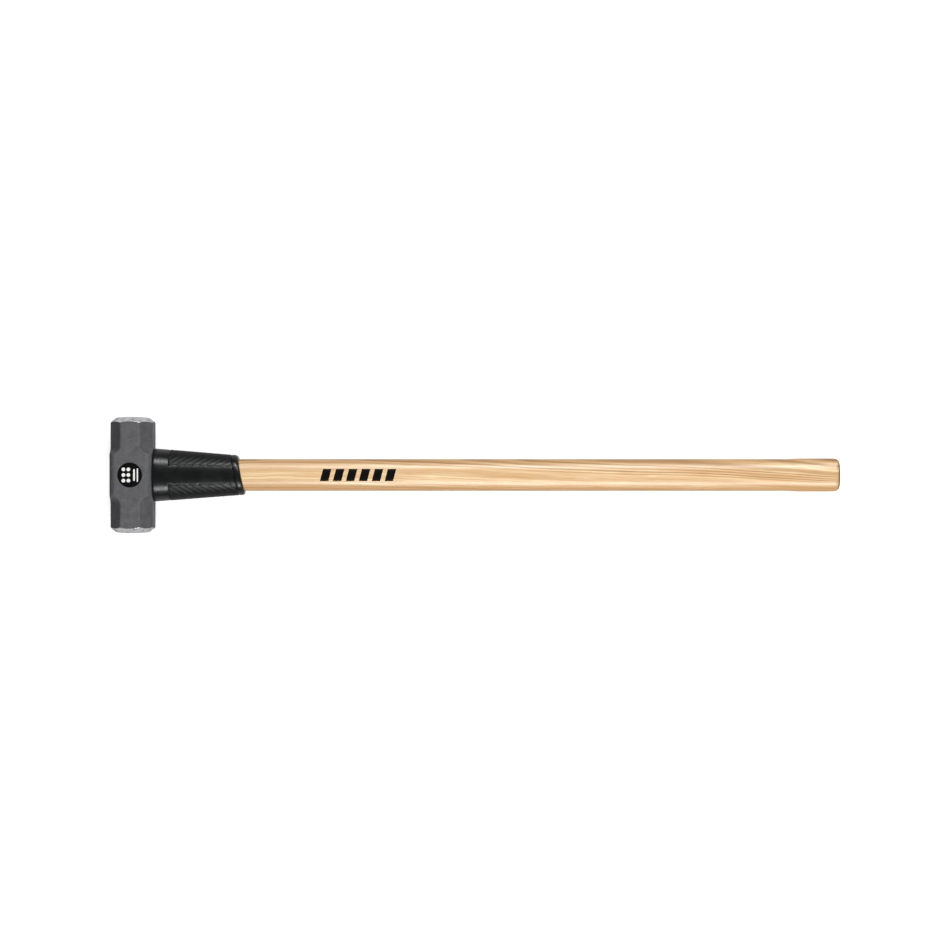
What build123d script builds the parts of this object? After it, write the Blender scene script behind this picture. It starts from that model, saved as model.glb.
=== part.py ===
from build123d import *

import os
from math import cos, radians, sin, sqrt, tan

# A 6 lb double-faced sledgehammer with a 36 inch hickory handle, lying on one cheek of its head.
#
# The handle runs along +X and the head from striking face to striking face along Y. The cheek that it lies
# on is the plane Z = 0, and the origin is on that cheek, right below the centre of the eye. Millimetres.

# Head: a forged steel block, with the corners of its square section taken off towards both ends
overall_length = 914.4  # top of the head to the end of the grip
head_length = 146.6  # striking face to striking face
head_width = 53.2  # top of the head to its underside
head_depth = 53.2  # cheek to cheek
corner_leg = 14.6  # how much of each side a corner flat takes
corner_flat_start = 37.0  # from the middle of the head to where a corner flat begins
runout_radius = 12.0  # the curve in which a corner flat runs out towards the middle
waist_rounding = 9.0  # the long edges of the middle, which stays square

# Striking faces
face_radius = 20.8  # from the head's axis to the edge of the crowned face
crown_radius = 165.0
bevel_slope = 38.0  # of the ground bevel round the face, in degrees
face_rounding = 2.0  # between the face and its bevel

# Eye: an oval hole, narrowest inside, so that the spread handle can't come out
eye_length = 36.0  # along the head, at the throat
eye_width = 25.0  # across the cheeks, at the throat
throat_depth = 21.0  # from the underside to the throat
top_flare = 3.2  # how much longer and wider than the throat the eye is at the top of the head
underside_flare = 1.4
mouth_chamfer = 1.2

# Handle: a straight oval shaft
shaft_width = 40.0  # along the head
shaft_depth = 30.0
shoulder_width = 46.0  # where the handle meets the head
shoulder_depth = 34.0
neck_length = 95.0  # from the shoulder to the full shaft
grip_width = 41.6  # the slight swell at the end
grip_depth = 31.2
grip_length = 49.0
swell_length = 20.0  # in which the shaft grows to the grip
grip_rounding = 6.4
tongue_gap = 0.05  # all round the tongue, in the eye
tongue_recess = 0.6  # from the top of the head down to the end of the tongue

# Wedges, driven in from the top of the head
kerf_depth = 46.0  # the saw cut for the wooden wedge
kerf_width = 1.6
wood_wedge_length = 40.0
wood_wedge_thickness = 6.0  # at its head
wood_wedge_side_gap = 0.3  # between the wooden wedge's edges and the eye
steel_wedge_length = 27.0
steel_wedge_width = 19.0
steel_wedge_thickness = 5.2  # at its head
steel_wedge_tip = 1.0
steel_wedge_steps = 3
step_height = 0.4  # the barbs that hold a steel wedge
steel_wedge_spacing = 17.0
wedge_gap = 0.03  # round each wedge

# Overstrike guard: a moulded sleeve round the handle, up against the head
guard_length = 110.5  # along the handle's axis
guard_front_wall = 10.5  # outside the shoulder, along the head
guard_cheek_inset = 2.1  # how far its cheek sides stay below the head's cheeks
guard_rear_wall = 4.7  # outside the shaft
guard_slant = 10.5  # of the rear end, in degrees from square
guard_front_rounding = 2.4
guard_rear_rounding = 3.4
guard_gap = 0.1  # all round the handle
plain_strip = 22.8  # the smooth strip along the middle of each cheek side
front_band = 20.7  # the smooth band next to the head
rear_band = 8.4  # the rim at the rear end
groove_width = 1.2
groove_depth = 0.8
pad_pitch = 9.4  # along the handle, from one slanting grip pad to the next
pad_slant = 45.0  # of the grooves between the pads, in degrees

# Weight label on the upper cheek
label_diameter = 31.0
label_thickness = 0.15

axis_height = head_depth / 2
half_width = head_width / 2
handle_end = overall_length - half_width
tongue_end = -half_width + tongue_recess
throat = half_width - throat_depth
guard_rear = half_width + guard_length
swell_start = handle_end - grip_length - swell_length
guard_front_width = shoulder_width + 2 * guard_front_wall
guard_front_depth = head_depth - 2 * guard_cheek_inset
guard_rear_width = shaft_width + 2 * guard_rear_wall
guard_rear_depth = shaft_depth + 2 * guard_rear_wall
pattern_start = half_width + front_band
pattern_end = guard_rear - rear_band
overrun = 5.0  # how far a cutting shape runs past what it cuts


def across_handle(x):
    """The plane square to the handle at x, with its own x along the head and its own y up."""
    return Plane(origin=(x, 0, axis_height), x_dir=(0, 1, 0), z_dir=(1, 0, 0))


def oval_taper(*stations):
    """A solid along the handle's axis, straight from each oval (x, width, depth) to the next."""
    with BuildPart() as taper:
        for x, width, depth in stations:
            with BuildSketch(across_handle(x)):
                Ellipse(width / 2, depth / 2)
        loft(ruled=True)
    return taper.part


def eye_station(x, gap):
    """The eye's oval at x, drawn in by gap all round."""
    if x < throat:
        flare = top_flare * (throat - x) / (throat + half_width)
    else:
        flare = underside_flare * (x - throat) / throat_depth
    return x, eye_length + flare - 2 * gap, eye_width + flare - 2 * gap


def eye_shape(gap=0.0, top=-half_width):
    """The eye from x = top down to the underside, drawn in by gap all round."""
    return oval_taper(eye_station(top, gap), eye_station(throat, gap), eye_station(half_width, gap))


def neck_and_shaft(gap=0.0):
    """The handle from the head's underside to where it swells, grown by gap all round."""
    return oval_taper(
        (half_width, shoulder_width + 2 * gap, shoulder_depth + 2 * gap),
        (half_width + neck_length, shaft_width + 2 * gap, shaft_depth + 2 * gap),
        (swell_start, shaft_width + 2 * gap, shaft_depth + 2 * gap),
    )


def guard_blank(inset=0.0):
    """The guard's outer taper, drawn in by inset all round and longer than the guard."""
    share = 1 + (guard_rear_width / 2 * tan(radians(guard_slant)) + overrun) / guard_length
    past_width = guard_front_width + share * (guard_rear_width - guard_front_width)
    past_depth = guard_front_depth + share * (guard_rear_depth - guard_front_depth)
    return oval_taper(
        (half_width, guard_front_width - 2 * inset, guard_front_depth - 2 * inset),
        (half_width + share * guard_length, past_width - 2 * inset, past_depth - 2 * inset),
    )


def panel_plan(side, margin=0.0):
    """The panel of grip pads on one side of the plain strip, in plan, drawn in by margin."""
    inner = plain_strip / 2 + margin
    outer = guard_front_width
    lean = tan(radians(guard_slant))
    end = pattern_end - margin / cos(radians(guard_slant))
    with BuildSketch() as panel:
        Polygon(
            (pattern_start + margin, side * inner),
            (end - lean * side * inner, side * inner),
            (end - lean * side * outer, side * outer),
            (pattern_start + margin, side * outer),
            align=None,
        )
    return panel.sketch


def groove_plan(side):
    """One side's grooves in plan: slanting ones that part the grip pads, and one round the panel."""
    inner = plain_strip / 2
    outer = guard_front_width
    run = (outer - inner) * tan(radians(pad_slant))
    width = groove_width / cos(radians(pad_slant))
    pads = int((run + pattern_end - pattern_start) / pad_pitch) + 2
    with BuildSketch() as grooves:
        for number in range(pads):
            x = pattern_start - run + number * pad_pitch
            Polygon(
                (x, side * inner),
                (x + width, side * inner),
                (x + width + run, side * outer),
                (x + run, side * outer),
                align=None,
            )
        add(panel_plan(side, groove_width), mode=Mode.INTERSECT)
        add(panel_border(side))
    return grooves.sketch


def panel_border(side):
    """The groove round one side's panel, in plan."""
    with BuildSketch() as border:
        add(panel_plan(side))
        add(panel_plan(side, groove_width), mode=Mode.SUBTRACT)
    return border.sketch


def steel_wedge_profile(gap=0.0):
    """A steel wedge's outline in plan, centred on its own axis, as points from its head to its tip."""
    step_length = steel_wedge_length / steel_wedge_steps
    taper = (steel_wedge_thickness - steel_wedge_tip) / 2 / steel_wedge_length
    past_head = overrun if gap else 0
    lean = taper + step_height / 2 / step_length
    edge = [(tongue_end - past_head, steel_wedge_thickness / 2 + lean * past_head + gap)]
    for step in range(1, steel_wedge_steps):
        along = step * step_length
        half = steel_wedge_thickness / 2 - taper * along
        edge.append((tongue_end + along, half - step_height / 2 + gap))
        edge.append((tongue_end + along, half + step_height / 2 + gap))
    edge.append((tongue_end + steel_wedge_length + gap, steel_wedge_tip / 2 + gap))
    return edge + [(x, -y) for x, y in reversed(edge)]


def steel_wedge_solid(side, gap=0.0):
    """One steel wedge, on the side of the eye's centre that side gives, grown by gap."""
    middle = side * steel_wedge_spacing / 2
    with BuildPart() as wedge:
        with BuildSketch(Plane.XY.offset(axis_height)):
            with BuildLine(Plane.XY):
                Polyline(*[(x, middle + y) for x, y in steel_wedge_profile(gap)], close=True)
            make_face()
        extrude(amount=steel_wedge_width / 2 + gap, both=True)
    return wedge.part


def wood_wedge_blank(gap=0.0):
    """The wooden wedge before it is fitted to the eye, across the whole head, grown by gap."""
    past_head = overrun if gap else 0
    taper = (wood_wedge_thickness - kerf_width) / 2 / wood_wedge_length
    head_half = wood_wedge_thickness / 2 + taper * past_head + gap
    tip_half = kerf_width / 2 + gap
    top = tongue_end - past_head
    tip = tongue_end + wood_wedge_length
    with BuildPart() as wedge:
        with BuildSketch(Plane.XZ):
            with BuildLine():
                Polyline(
                    (top, axis_height - head_half),
                    (tip, axis_height - tip_half),
                    (tip, axis_height + tip_half),
                    (top, axis_height + head_half),
                    close=True,
                )
            make_face()
        extrude(amount=head_length / 2, both=True)
    return wedge.part


def corner_cut(x_side, end, z_side):
    """What is cut off one corner of the head's section, from one end to the curve where the flat runs out."""
    flat = -corner_leg / sqrt(2)
    outside = overrun / 2
    end_past = head_length / 2 + overrun
    run = sqrt(runout_radius**2 - (runout_radius + flat - outside) ** 2)
    long_edge = (x_side * half_width, 0, axis_height + z_side * head_depth / 2)
    outward = Vector(x_side, 0, z_side).normalized()
    along = Vector(0, end, 0)
    with BuildPart() as cut:
        with BuildSketch(Plane(origin=long_edge, x_dir=along, z_dir=along.cross(outward))):
            with BuildLine():
                Polyline(
                    (corner_flat_start, flat),
                    (end_past, flat),
                    (end_past, outside),
                    (corner_flat_start - run, outside),
                )
                TangentArc(
                    (corner_flat_start, flat),
                    (corner_flat_start - run, outside),
                    tangent=(-1, 0),
                )
            make_face()
        extrude(amount=head_width, both=True)
    return cut.part


def face_turning():
    """The turned shape that leaves a crowned face and a bevel at both ends of the head."""
    half = head_length / 2
    sag = crown_radius - sqrt(crown_radius**2 - face_radius**2)
    outside = sqrt(head_width**2 + head_depth**2) / 2 + overrun
    bevel_drop = (outside - face_radius) * tan(radians(bevel_slope))
    with BuildPart() as turned:
        with BuildSketch(Plane.XY.offset(axis_height)) as profile:
            with BuildLine():
                TangentArc((0, half), (face_radius, half - sag), tangent=(1, 0))
                Line((face_radius, half - sag), (outside, half - sag - bevel_drop))
                Polyline((outside, half - sag - bevel_drop), (outside, 0), (0, 0), (0, half))
            make_face()
            rim = profile.vertices().filter_by(lambda corner: abs(corner.X - face_radius) < 0.001)
            fillet(rim, face_rounding)
        revolve(axis=Axis((0, 0, axis_height), (0, 1, 0)))
        mirror(about=Plane.XZ)
    return turned.part


with BuildPart() as hammer_head:
    with BuildSketch(Plane.XZ.offset(-head_length / 2)):
        with Locations((0, axis_height)):
            Rectangle(head_width, head_depth)
    extrude(amount=head_length)
    fillet(hammer_head.edges().filter_by(Axis.Y), waist_rounding)
    for x_side in (-1, 1):
        for z_side in (-1, 1):
            for end in (-1, 1):
                add(corner_cut(x_side, end, z_side), mode=Mode.SUBTRACT)
    add(face_turning(), mode=Mode.INTERSECT)
    add(eye_shape(), mode=Mode.SUBTRACT)
    for mouth in (-half_width, half_width):
        inside = mouth - mouth_chamfer if mouth > 0 else mouth + mouth_chamfer
        add(oval_taper(eye_station(mouth, -mouth_chamfer), eye_station(inside, 0)), mode=Mode.SUBTRACT)
hammer_head.part.label = "hammer_head"

with BuildPart() as handle:
    add(eye_shape(tongue_gap, tongue_end))
    add(neck_and_shaft())
    add(
        oval_taper(
            (swell_start, shaft_width, shaft_depth),
            (swell_start + swell_length, grip_width, grip_depth),
            (handle_end, grip_width, grip_depth),
        )
    )
    fillet(handle.faces().sort_by(Axis.X)[-1].edges(), grip_rounding)
    add(wood_wedge_blank(wedge_gap), mode=Mode.SUBTRACT)
    with BuildSketch(Plane.XY.offset(axis_height)):
        with Locations((tongue_end + kerf_depth / 2, 0)):
            Rectangle(kerf_depth, head_length)
    extrude(amount=kerf_width / 2, both=True, mode=Mode.SUBTRACT)
    for side in (-1, 1):
        add(steel_wedge_solid(side, wedge_gap), mode=Mode.SUBTRACT)
handle.part.label = "handle"

with BuildPart() as wood_wedge:
    add(wood_wedge_blank())
    add(eye_shape(wood_wedge_side_gap), mode=Mode.INTERSECT)
    for side in (-1, 1):
        add(steel_wedge_solid(side, wedge_gap), mode=Mode.SUBTRACT)
wood_wedge.part.label = "wood_wedge"

steel_wedges = {}
for side, name in ((-1, "front_steel_wedge"), (1, "back_steel_wedge")):
    with BuildPart() as steel_wedge:
        add(steel_wedge_solid(side))
    steel_wedge.part.label = name
    steel_wedges[name] = steel_wedge.part

with BuildPart() as guard_grooves:
    add(guard_blank(-groove_depth))
    add(guard_blank(groove_depth), mode=Mode.SUBTRACT)
    with BuildSketch():
        add(groove_plan(-1))
        add(groove_plan(1))
    extrude(amount=head_depth, mode=Mode.INTERSECT)

with BuildPart() as overstrike_guard:
    add(guard_blank())
    split(
        bisect_by=Plane(
            origin=(guard_rear, 0, axis_height),
            x_dir=(0, 0, 1),
            z_dir=(cos(radians(guard_slant)), sin(radians(guard_slant)), 0),
        ),
        keep=Keep.BOTTOM,
    )
    fillet(overstrike_guard.faces().sort_by(Axis.X)[0].edges(), guard_front_rounding)
    fillet(overstrike_guard.faces().sort_by(Axis.X)[-1].edges(), guard_rear_rounding)
    add(guard_grooves.part, mode=Mode.SUBTRACT)
    add(neck_and_shaft(guard_gap), mode=Mode.SUBTRACT)
overstrike_guard.part.label = "overstrike_guard"

with BuildPart() as weight_label:
    with BuildSketch(Plane.XY.offset(head_depth)):
        Circle(label_diameter / 2)
    extrude(amount=label_thickness)
weight_label.part.label = "weight_label"

os.makedirs("parts", exist_ok=True)
pieces = [hammer_head.part, handle.part, wood_wedge.part, *steel_wedges.values()]
pieces += [overstrike_guard.part, weight_label.part]
for piece in pieces:
    export_step(piece, f"parts/{piece.label}.step")
    print(f"{piece.label}: {len(piece.solids())} solid, {piece.volume / 1000:.1f} cm3")
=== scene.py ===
# %% [markdown]
# # A long-handled sledgehammer
# The hammer lies on one cheek of its head. The CAD model gives the places and the sizes; this file gives the
# looks: a forged and painted head with ground striking faces, a lacquered hickory handle, a moulded rubber
# guard, the wedges in the eye, a round label and an ink stamp. Lengths are metres, and MM turns millimetres
# into them.

# %% The frame
import math

import bmesh
import bpy
import numpy as np
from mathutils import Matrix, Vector, noise


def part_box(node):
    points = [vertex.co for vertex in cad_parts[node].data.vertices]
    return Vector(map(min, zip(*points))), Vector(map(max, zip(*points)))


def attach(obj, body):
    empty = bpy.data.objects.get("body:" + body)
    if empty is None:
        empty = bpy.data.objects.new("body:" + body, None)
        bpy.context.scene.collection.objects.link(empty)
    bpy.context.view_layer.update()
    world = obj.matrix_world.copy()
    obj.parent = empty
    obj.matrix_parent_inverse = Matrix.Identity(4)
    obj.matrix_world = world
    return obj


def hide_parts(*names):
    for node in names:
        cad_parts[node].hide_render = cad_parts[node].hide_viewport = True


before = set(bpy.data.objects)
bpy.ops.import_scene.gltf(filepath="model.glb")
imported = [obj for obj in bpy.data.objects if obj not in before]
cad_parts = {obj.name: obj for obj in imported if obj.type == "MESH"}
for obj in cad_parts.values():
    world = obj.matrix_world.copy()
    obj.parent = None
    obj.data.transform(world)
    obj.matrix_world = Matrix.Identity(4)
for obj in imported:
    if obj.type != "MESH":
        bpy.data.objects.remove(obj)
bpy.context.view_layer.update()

MM = 0.001
print("pieces in the frame:", ", ".join(sorted(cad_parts)))

# %% [markdown]
# ## Camera
# The hammer is seen from straight above, from a little over two and a half metres, and the view is about
# 1.2 m wide. The camera stands over the middle of the handle, so the underside of the head shows a little
# and its top doesn't. A lens is chosen by what has to fit: the width of the view at the handle's height
# gives the focal length.

# %% Camera
head_low, head_high = (np.array(corner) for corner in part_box("hammer_head"))
handle_low, handle_high = (np.array(corner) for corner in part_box("handle"))
axis_height = (head_low[2] + head_high[2]) / 2

camera_over = 430 * MM
camera_distance = 2642 * MM
view_width = 1195 * MM  # at the handle's height
sensor_width = 36  # of a full-frame camera, in millimetres

camera_data = bpy.data.cameras.new("camera")
camera_data.sensor_width = sensor_width
camera_data.lens = sensor_width * camera_distance / view_width
camera = bpy.data.objects.new("camera", camera_data)
camera.location = (camera_over, 0, axis_height + camera_distance)
bpy.context.scene.collection.objects.link(camera)
bpy.context.scene.camera = camera
bpy.context.scene.view_settings.view_transform = "Standard"
print(f"lens {camera_data.lens:.1f} mm, {camera.location.z:.2f} m above the floor")

# %% [markdown]
# ## Helpers
# Colours are written as the sRGB hex values that a colour picker gives, and shaders need them linear. One
# function adds a node, sets it up and links it. Each skin is made of rings of points, because every long
# piece of a hammer is a section carried along an axis.


# %% Colours and nodes
def linear(hex_colour):
    """An sRGB hex colour as the linear numbers that a shader takes."""
    parts = [int(hex_colour[i : i + 2], 16) / 255 for i in (1, 3, 5)]
    return tuple(c / 12.92 if c <= 0.04045 else ((c + 0.055) / 1.055) ** 2.4 for c in parts) + (1,)


def add_node(tree, kind, inputs=None, stops=None, **settings):
    """Adds a node. An input is a value or another node's output, and stops fill a colour ramp."""
    node = tree.nodes.new(kind)
    for name, value in settings.items():
        setattr(node, name, value)
    for key, value in (inputs or {}).items():
        if isinstance(value, bpy.types.NodeSocket):
            tree.links.new(value, node.inputs[key])
        else:
            node.inputs[key].default_value = value
    for number, (place, colour) in enumerate(stops or []):
        ramp = node.color_ramp.elements
        stop = ramp[number] if number < 2 else ramp.new(place)
        stop.position = place
        stop.color = colour
    return node.outputs[0]


def new_material(name):
    """An empty material with its node tree and its Principled shader."""
    material = bpy.data.materials.new(name)
    material.use_nodes = True
    return material, material.node_tree, material.node_tree.nodes["Principled BSDF"]


def grey(value):
    """A grey for a ramp that carries a number and not a colour."""
    return (value, value, value, 1)


print("mid grey is", [round(c, 3) for c in linear("#808080")])


# %% Skins from rings
def skin(name, rings, joined=False):
    """A closed mesh through rings of points, whose ends are joined together or drawn to their middles."""
    rings = np.asarray(rings, float)
    count, around = rings.shape[:2]
    points = rings.reshape(-1, 3)
    last = count if joined else count - 1
    row, column = np.meshgrid(np.arange(last), np.arange(around), indexing="ij")
    next_row = (row + 1) % count
    next_column = (column + 1) % around
    corners = [row * around + column, row * around + next_column]
    corners += [next_row * around + next_column, next_row * around + column]
    faces = np.stack(corners, -1).reshape(-1, 4).tolist()
    if not joined:
        middles = [rings[0].mean(0), rings[-1].mean(0)]
        points = np.vstack([points, middles])
        start, end = count * around, count * around + 1
        for i in range(around):
            j = (i + 1) % around
            faces.append([start, j, i])
            faces.append([end, (count - 1) * around + i, (count - 1) * around + j])
    mesh = bpy.data.meshes.new(name)
    mesh.from_pydata(points.tolist(), [], faces)
    shape = bmesh.new()
    shape.from_mesh(mesh)
    bmesh.ops.recalc_face_normals(shape, faces=shape.faces)
    shape.to_mesh(mesh)
    shape.free()
    piece = bpy.data.objects.new(name, mesh)
    bpy.context.scene.collection.objects.link(piece)
    return piece


def smooth(piece, sharp_from=38):
    """Shades a piece smooth, but for edges that turn by more than sharp_from degrees."""
    piece.data.shade_smooth()
    piece.data.set_sharp_from_angle(angle=math.radians(sharp_from))


def spread(*spans):
    """Places along an axis: each span is (from, to, step), and a place isn't repeated."""
    places = []
    for start, end, step in spans:
        steps = max(1, round(abs(end - start) / step))
        places += list(np.linspace(start, end, steps + 1))
    return np.array([p for i, p in enumerate(places) if i == 0 or abs(p - places[i - 1]) > 1e-9])


def blend_low(a, b, width):
    """The lower of a and b, rounded where they are within width of each other, and how near that is."""
    near = np.clip(1 - np.abs(a - b) / width, 0, 1)
    return np.minimum(a, b) - near**2 * width / 4, near


def join(name, parts):
    """One piece made of several, which it replaces."""
    shape = bmesh.new()
    for part in parts:
        shape.from_mesh(part.data)
        bpy.data.objects.remove(part)
    mesh = bpy.data.meshes.new(name)
    shape.to_mesh(mesh)
    shape.free()
    piece = bpy.data.objects.new(name, mesh)
    bpy.context.scene.collection.objects.link(piece)
    return piece


def cut_away(piece, cutters):
    """Cuts closed shapes out of a piece and removes them."""
    for cutter in cutters:
        cut = piece.modifiers.new("cut", "BOOLEAN")
        cut.operation = "DIFFERENCE"
        cut.solver = "EXACT"
        cut.object = cutter
    bpy.context.view_layer.update()
    graph = bpy.context.evaluated_depsgraph_get()
    whole = piece.evaluated_get(graph)
    mesh = bpy.data.meshes.new_from_object(whole, preserve_all_data_layers=True, depsgraph=graph)
    piece.modifiers.clear()
    piece.data = mesh
    for cutter in cutters:
        bpy.data.objects.remove(cutter)


print("five places:", spread((0, 1, 0.5), (1, 2, 0.5)))

# %% [markdown]
# ## The head
# A sledge head is forged from a square bar. Its middle, round the eye, stays square with well rounded edges.
# Towards both ends the corners are beaten flat, and each flat runs out in a curve. The ends are then turned:
# a slightly domed face with a bevel round it. A box with a bevel modifier couldn't have those run-outs, and
# sculpting them would never be even, so the section's radius is worked out for every direction and every
# place along the head, as the lowest of the sides, the corner flats and the turned end, with each meeting
# line rounded a little.

# %% Sizes of the head
half_side = head_high[0]
half_length = head_high[1]
corner_leg = 14.6 * MM
flat_distance = half_side * math.sqrt(2) - corner_leg / math.sqrt(2)
flat_start = 37 * MM
runout_radius = 12 * MM
face_radius = 20.8 * MM
crown_radius = 165 * MM
bevel_slope = math.tan(math.radians(38))
crown_sag = crown_radius - math.sqrt(crown_radius**2 - face_radius**2)
waist_blend = 15 * MM  # over which two sides of the square middle round into each other
flat_blend = 1.1 * MM
bevel_blend = 0.5 * MM
face_blend = 0.9 * MM
flat_fade = 0.4 * MM  # over which the flats' painted shade begins
highlight_rim = 1.5 * MM  # each side of the face's edge
around_head = 352
turn = np.arange(around_head) / around_head * 2 * math.pi + math.radians(0.5)
print(f"head {2 * half_side / MM:.1f} mm square, {2 * half_length / MM:.1f} mm long")


# %% The head's section
def flat_distance_at(y):
    """How far from the head's axis a corner flat lies at y, which grows along the run-out."""
    into_runout = np.clip(flat_start - abs(y), 0, runout_radius)
    return flat_distance + runout_radius - math.sqrt(runout_radius**2 - into_runout**2)


def turned_radius(y):
    """The radius that the bevel leaves at y."""
    return face_radius + (half_length - crown_sag - abs(y)) / bevel_slope


def head_ring(y):
    """The head's ring of radii at y, how much painted highlight its edges get, and how much of it is corner
    flat.
    """
    across = half_side / np.maximum(np.abs(np.cos(turn)), 1e-6)
    up = half_side / np.maximum(np.abs(np.sin(turn)), 1e-6)
    square, _ = blend_low(across, up, waist_blend)
    diagonal = np.abs(np.cos(turn - math.radians(45)))
    diagonal = np.maximum(diagonal, np.abs(np.sin(turn - math.radians(45))))
    flat_radius = flat_distance_at(y) / diagonal
    prism, flat_edge = blend_low(square, flat_radius, flat_blend)
    on_flat = np.clip((square - flat_radius) / flat_fade, 0, 1)
    turned, bevel_edge = blend_low(prism, np.full(around_head, turned_radius(y)), bevel_blend)
    edge_highlight_share = flat_edge * np.cos(turn) ** 2  # the painted highlight fades on the edges towards the cheeks
    return turned, np.maximum(edge_highlight_share, bevel_edge), on_flat


def face_height(r):
    """The striking face and its bevel as a height along the head, at radius r."""
    crown = half_length - crown_radius + math.sqrt(crown_radius**2 - r**2)
    bevel = half_length - crown_sag - (r - face_radius) * bevel_slope
    return float(blend_low(crown, bevel, face_blend)[0])


print(f"corner flats {flat_distance_at(half_length) / MM:.1f} mm from the head's axis")


# %% The head's skin
# The rings lie close at the face's edge, at the bevels and at the run-outs, and wide apart on flat stretches.
face_steps = spread((0.4, 18, 1.8), (18, 23.2, 0.4), (23.2, 26, 0.6)) * MM
side_end = face_height(face_steps[-1])
side_places = spread((-side_end / MM + 0.3, -61, 0.3), (-61, -39, 2), (-39, -24, 0.45), (-24, 24, 2.4))
side_places = np.concatenate([side_places, -side_places[side_places < -24][::-1]]) * MM

rings = []
edges = []
flats = []
for side in (-1, 1):
    steps = face_steps if side < 0 else face_steps[::-1]
    for r in steps:
        along_head = np.full(around_head, side * face_height(r))
        rings.append(np.stack([r * np.cos(turn), along_head, r * np.sin(turn)], 1))
        edges.append(np.full(around_head, max(0, 1 - abs(r - face_radius) / highlight_rim)))
        flats.append(np.zeros(around_head))
    if side < 0:
        for y in side_places:
            radius, near, on_flat = head_ring(y)
            along_head = np.full(around_head, y)
            rings.append(np.stack([radius * np.cos(turn), along_head, radius * np.sin(turn)], 1))
            edges.append(near)
            flats.append(on_flat)
rings = np.array(rings) + [0, 0, axis_height]
head = skin("forged_head", rings)
for name, values in (("edge", edges), ("corner_flat", flats)):
    layer = head.data.attributes.new(name, "FLOAT", "POINT")
    layer.data.foreach_set("value", np.concatenate([np.ravel(values), [0, 0]]).astype(np.float32))
print(f"{len(head.data.polygons)} faces before the eye is cut")

# %% [markdown]
# A forging is never quite flat. Each point of the painted part moves in or out by less than a tenth of a
# millimetre, by a noise with waves of about 14 mm, which bends the reflections a little.

# %% The forging's unevenness
unevenness = 0.09 * MM
wave_length = 14 * MM
paint_margin = 2 * MM  # over which it fades towards the bevel
for vertex in head.data.vertices:
    place = Vector(vertex.co)
    out = Vector((place.x, 0, place.z - axis_height))
    painted = min(1, max(0, (turned_radius(place.y) - out.length) / paint_margin))
    if out.length > face_radius and painted:
        swell = noise.noise(place / wave_length)
        vertex.co = place + out.normalized() * (swell - 0.4) * unevenness * painted
print(f"widest {2 * max(vertex.co.x for vertex in head.data.vertices) / MM:.2f} mm")

# %% [markdown]
# ## The eye
# The eye is an oval hole, narrowest inside, so that the handle's spread tongue can't pull out. Its mouths
# are rounded. It could be left out of the skin, but a boolean cut is simpler: the cutter is a skin through
# ovals, longer than the head is wide.

# %% The eye's cutter
eye_length = 36 * MM
eye_width = 25 * MM
throat = half_side - 21 * MM
top_flare = 3.2 * MM
underside_flare = 1.4 * MM
mouth_rounding = 1.4 * MM


def eye_flare(x):
    """How much longer and wider than its throat the eye is at x."""
    if x < throat:
        return top_flare * (throat - x) / (throat + half_side)
    return underside_flare * (x - throat) / (half_side - throat)


def oval_ring(x, width, depth, power=2.0, around=96):
    """A ring square to the handle's axis; a power over 2 makes the oval a little squarer."""
    angle = np.arange(around) / around * 2 * math.pi
    across = np.sign(np.cos(angle)) * np.abs(np.cos(angle)) ** (2 / power) * width / 2
    up = np.sign(np.sin(angle)) * np.abs(np.sin(angle)) ** (2 / power) * depth / 2
    return np.stack([np.full(around, x), across, up + axis_height], 1)


def mouth_widening(x):
    """How much the rounding of a mouth adds to the eye's length and width at x."""
    into = mouth_rounding - (half_side - abs(x))
    if into <= 0:
        return 0.0
    into = min(into, mouth_rounding)
    return 2 * (mouth_rounding - math.sqrt(mouth_rounding**2 - into**2))


mouth_places = ((-29, -26.6, 2.4), (-26.6, -25, 0.2), (-25, 25, 5), (25, 26.6, 0.2), (26.6, 29, 2.4))
places = spread(*mouth_places) * MM
eye_rings = []
for x in places:
    wider = eye_flare(x) + mouth_widening(x)
    eye_rings.append(oval_ring(x, eye_length + wider, eye_width + wider))
cut_away(head, [skin("eye_cutter", eye_rings)])
smooth(head)
print(f"head: {len(head.data.polygons)} faces")

# %% [markdown]
# ## The handle
# The handle is turned and shaved from one stick of hickory: a tongue in the eye, a thicker neck below it
# that the guard hides, a straight oval shaft and a slight swell at the end of the grip with a rounded end. A
# squashed cylinder has an ellipse for its section; a shaved handle is a little squarer, so each ring comes
# from a formula whose power is over 2.

# %% The handle's widths
shaft_width, shaft_depth = 40 * MM, 30 * MM
shoulder_width, shoulder_depth = 46 * MM, 34 * MM
neck_end = half_side + 95 * MM
grip_width, grip_depth = 41.6 * MM, 31.2 * MM
handle_end = handle_high[0]
swell_end = handle_end - 49 * MM
swell_start = swell_end - 20 * MM
grip_rounding = 6.4 * MM
shaft_power = 2.3
tongue_end = handle_low[0]
print(f"the shaft is {shaft_width / MM:.0f} mm by {shaft_depth / MM:.0f} mm")


def ease(share):
    """A change from 0 to 1 that starts and ends gently."""
    share = min(1.0, max(0.0, share))
    return share * share * (3 - 2 * share)


def handle_size(x):
    """The handle's width and depth at x, outside the head."""
    to_shaft = ease((x - half_side) / (neck_end - half_side))
    to_grip = ease((x - swell_start) / (swell_end - swell_start))
    width = shoulder_width + (shaft_width - shoulder_width) * to_shaft
    depth = shoulder_depth + (shaft_depth - shoulder_depth) * to_shaft
    return width + (grip_width - shaft_width) * to_grip, depth + (grip_depth - shaft_depth) * to_grip


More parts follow.
